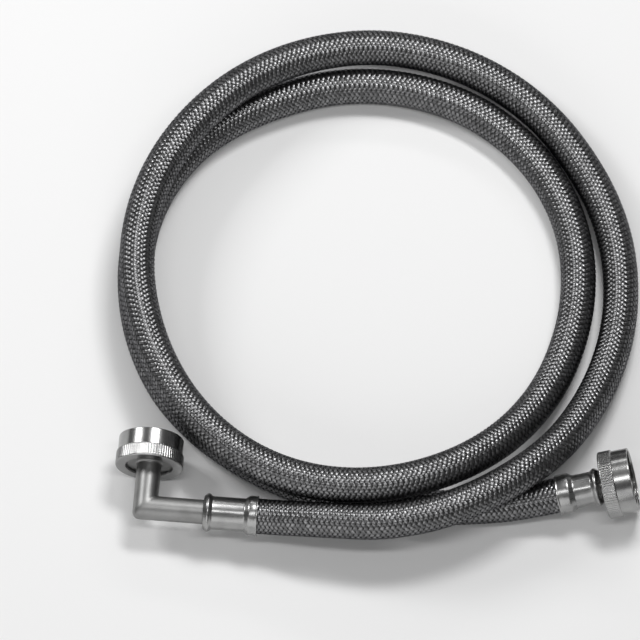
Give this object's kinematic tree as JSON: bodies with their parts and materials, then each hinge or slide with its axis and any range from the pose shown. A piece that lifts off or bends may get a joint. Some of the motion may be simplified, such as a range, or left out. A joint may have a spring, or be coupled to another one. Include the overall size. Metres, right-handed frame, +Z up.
{
  "type": "braided supply hose",
  "caption": "Flexible stainless-braided washing-machine supply hose, coiled, with a mitred elbow at one end, a straight tailpiece at the other and captive swivel nuts.",
  "frame": {"origin": "under the middle of the coiled part's box, on the table", "axes": "+Z up from the table; both ends lie on the -Y side, the elbow towards -X with its nut opening towards +Y, the straight end towards +X with its nut opening towards +X"},
  "size_m": [0.2351, 0.251, 0.0335],
  "materials": {
    "braid_steel": "woven wire, dark between bright strokes",
    "nut_steel": "turned and polished, with a straight knurl",
    "tube_steel": "satin",
    "ferrule_steel": "satin, crimped",
    "tail_steel": "turned",
    "liner_pvc": "smooth extruded",
    "yarn": "braided polyester, black",
    "washer_rubber": "matt black"
  },
  "bodies": {
    "coil": {"braid_coil": "braid_steel", "yarn_coil": "yarn", "liner_coil": "liner_pvc"},
    "elbow_end": {"braid_elbow_lead": "braid_steel", "yarn_elbow_lead": "yarn", "liner_elbow_lead": "liner_pvc", "elbow_ferrule": "ferrule_steel", "elbow_insert": "tail_steel", "elbow_tube": "tube_steel"},
    "elbow_nut": {"elbow_nut": "nut_steel"},
    "elbow_washer": {"elbow_washer": "washer_rubber"},
    "straight_end": {"braid_straight_lead": "braid_steel", "yarn_straight_lead": "yarn", "liner_straight_lead": "liner_pvc", "straight_ferrule": "ferrule_steel", "straight_tailpiece": "tail_steel"},
    "straight_nut": {"straight_nut": "nut_steel"},
    "straight_washer": {"straight_washer": "washer_rubber"}
  },
  "joints": [
    {"name": "elbow_bend", "type": "hinge", "parent": "coil", "child": "elbow_end", "pos_m": [-0.02067, -0.11617, 0.02135], "axis": [0, 0, 1], "range_deg": [0, 30], "stiffness_Nm_per_rad": 0.4, "deforming": ["braid_elbow_lead", "yarn_elbow_lead", "liner_elbow_lead"]},
    {"name": "straight_bend", "type": "hinge", "parent": "coil", "child": "straight_end", "pos_m": [0.04498, -0.10398, 0.00819], "axis": [0, 0, -1], "range_deg": [0, 30], "stiffness_Nm_per_rad": 0.4, "deforming": ["braid_straight_lead", "yarn_straight_lead", "liner_straight_lead"]},
    {"name": "elbow_swivel", "type": "hinge", "parent": "elbow_end", "child": "elbow_nut", "pos_m": [-0.10243, -0.08797, 0.01525], "axis": [0.0828, 0.9966, 0], "continuous": true},
    {"name": "elbow_washer_pull", "type": "slide", "parent": "elbow_nut", "child": "elbow_washer", "axis": [0.0828, 0.9966, 0], "range_m": [0, 0.012]},
    {"name": "straight_swivel", "type": "hinge", "parent": "straight_end", "child": "straight_nut", "pos_m": [0.10101, -0.09678, 0.0149], "axis": [0.9742, 0.1439, 0.1736], "continuous": true},
    {"name": "straight_washer_pull", "type": "slide", "parent": "straight_nut", "child": "straight_washer", "axis": [0.9742, 0.1439, 0.1736], "range_m": [0, 0.012]}
  ]
}
